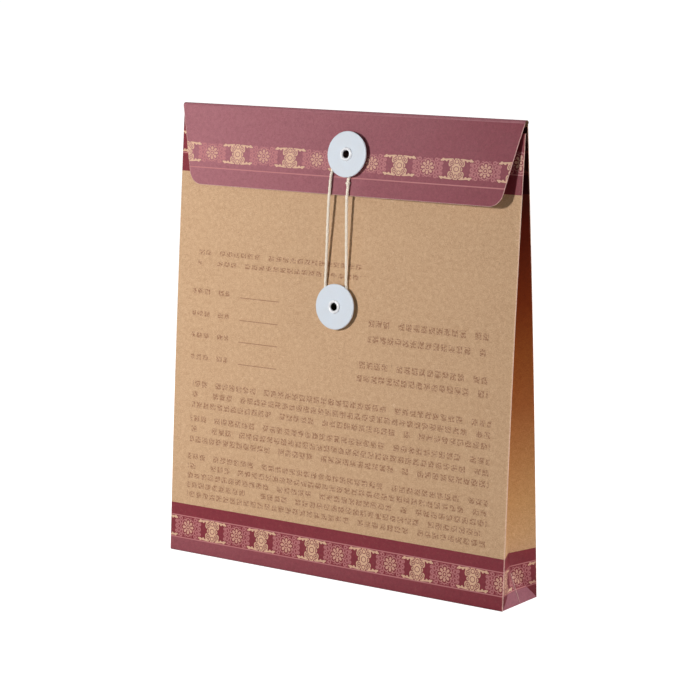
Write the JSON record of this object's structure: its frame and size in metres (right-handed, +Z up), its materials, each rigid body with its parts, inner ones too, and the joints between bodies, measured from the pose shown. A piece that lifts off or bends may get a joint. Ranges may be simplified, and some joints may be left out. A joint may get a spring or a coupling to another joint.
{
  "type": "kraft paper folder",
  "caption": "Standing kraft board folder with a block bottom, V-folded side gussets and a fold-over flap tied down by a string round two card washers.",
  "frame": {"origin": "centre of the underside, on the surface it stands on", "axes": "+Z up, -Y out of the front, +X to the right as the front is looked at"},
  "size_m": [0.225, 0.036, 0.2565],
  "materials": {
    "kraft_board": "matt brown kraft, burgundy print bands",
    "printed_board": "matt kraft, flat burgundy print",
    "washer_card": "smooth pressed white card",
    "eyelet_metal": "white-plated, satin",
    "cotton_string": "twisted, matt"
  },
  "bodies": {
    "base": {"bottom_outer_flap": "printed_board", "bottom_inner_flap": "kraft_board", "bottom_tab_right": "kraft_board", "bottom_tab_left": "kraft_board"},
    "front": {"front_panel": "kraft_board", "lower_spacer": "washer_card", "lower_eyelet": "eyelet_metal"},
    "back": {"back_panel": "kraft_board", "side_seam_tab": "kraft_board", "flap_fold": "printed_board"},
    "side_right_front": {"gusset_right_front": "kraft_board"},
    "side_right_back": {"gusset_right_back": "kraft_board"},
    "side_left_front": {"gusset_left_front": "kraft_board"},
    "side_left_back": {"gusset_left_back": "kraft_board"},
    "foot_right": {"gusset_foot_right": "kraft_board"},
    "foot_left": {"gusset_foot_left": "kraft_board"},
    "flap": {"closure_flap": "printed_board", "upper_spacer": "washer_card", "upper_eyelet": "eyelet_metal"},
    "upper_washer": {"upper_disc": "washer_card"},
    "lower_washer": {"lower_disc": "washer_card"},
    "string": {"tie_string": "cotton_string", "string_knot": "cotton_string"}
  },
  "joints": [
    {"name": "flap_hinge", "type": "hinge", "parent": "back", "child": "flap", "pos_m": [0, -0.0003, 0.25456], "axis": [-1, 0, 0], "range_deg": [0, 168.8], "deforming": ["flap_fold"]},
    {"name": "mouth_front", "type": "hinge", "parent": "base", "child": "front", "pos_m": [0, -0.0178, 0.0002], "axis": [1, 0, 0], "range_deg": [0, 2.4]},
    {"name": "mouth_back", "type": "hinge", "parent": "base", "child": "back", "pos_m": [0, 0.0178, 0.0002], "axis": [-1, 0, 0], "range_deg": [0, 2.4]},
    {"name": "fold_right_front", "type": "hinge", "parent": "front", "child": "side_right_front", "pos_m": [0.1123, -0.0172, 0.00016], "axis": [0, -0.0643, -0.9979], "range_deg": [0, 38.85], "deforming": ["gusset_right_front"]},
    {"name": "fold_left_front", "type": "hinge", "parent": "front", "child": "side_left_front", "pos_m": [-0.1123, -0.0172, 0.00016], "axis": [0, 0.0643, 0.9979], "range_deg": [0, 38.85], "deforming": ["gusset_left_front"]},
    {"name": "fold_right_back", "type": "hinge", "parent": "back", "child": "side_right_back", "pos_m": [0.1123, 0.0172, 0.00016], "axis": [0, -0.0643, 0.9979], "range_deg": [0, 38.85], "deforming": ["gusset_right_back"]},
    {"name": "fold_left_back", "type": "hinge", "parent": "back", "child": "side_left_back", "pos_m": [-0.1123, 0.0167, 0.00013], "axis": [0, 0.0643, -0.9979], "range_deg": [0, 39.72], "deforming": ["gusset_left_back"]},
    {"name": "foot_tilt_right", "type": "hinge", "parent": "base", "child": "foot_right", "pos_m": [0.1123, 0, 0.0002], "axis": [0, 1, 0], "range_deg": [0, 8.25]},
    {"name": "foot_tilt_left", "type": "hinge", "parent": "base", "child": "foot_left", "pos_m": [-0.1123, 0, 0.0002], "axis": [0, -1, 0], "range_deg": [0, 8.25]},
    {"name": "string_swing", "type": "hinge", "parent": "flap", "child": "string", "pos_m": [0.0048, -0.00787, 0.23377], "axis": [0, -0.9914, 0.1305], "range_deg": [0, 180], "deforming": ["tie_string", "string_knot"]},
    {"name": "upper_washer_spin", "type": "hinge", "parent": "flap", "child": "upper_washer", "pos_m": [0.0048, -0.00787, 0.23377], "axis": [0, -0.9914, 0.1305], "continuous": true},
    {"name": "lower_washer_spin", "type": "hinge", "parent": "front", "child": "lower_washer", "pos_m": [-0.0004, -0.0112, 0.15089], "axis": [0, -0.9979, 0.0643], "continuous": true}
  ],
  "couplings": [
    {"joint": "mouth_front", "follows": "flap_hinge", "ratio": 0.014215},
    {"joint": "mouth_back", "follows": "flap_hinge", "ratio": 0.014215},
    {"joint": "fold_right_front", "follows": "flap_hinge", "ratio": 0.23009},
    {"joint": "fold_left_front", "follows": "flap_hinge", "ratio": 0.23009},
    {"joint": "fold_right_back", "follows": "flap_hinge", "ratio": 0.23009},
    {"joint": "fold_left_back", "follows": "flap_hinge", "ratio": 0.23524},
    {"joint": "foot_tilt_right", "follows": "flap_hinge", "ratio": 0.0488},
    {"joint": "foot_tilt_left", "follows": "flap_hinge", "ratio": 0.0488},
    {"joint": "string_swing", "follows": "flap_hinge", "ratio": 1.0662}
  ]
}
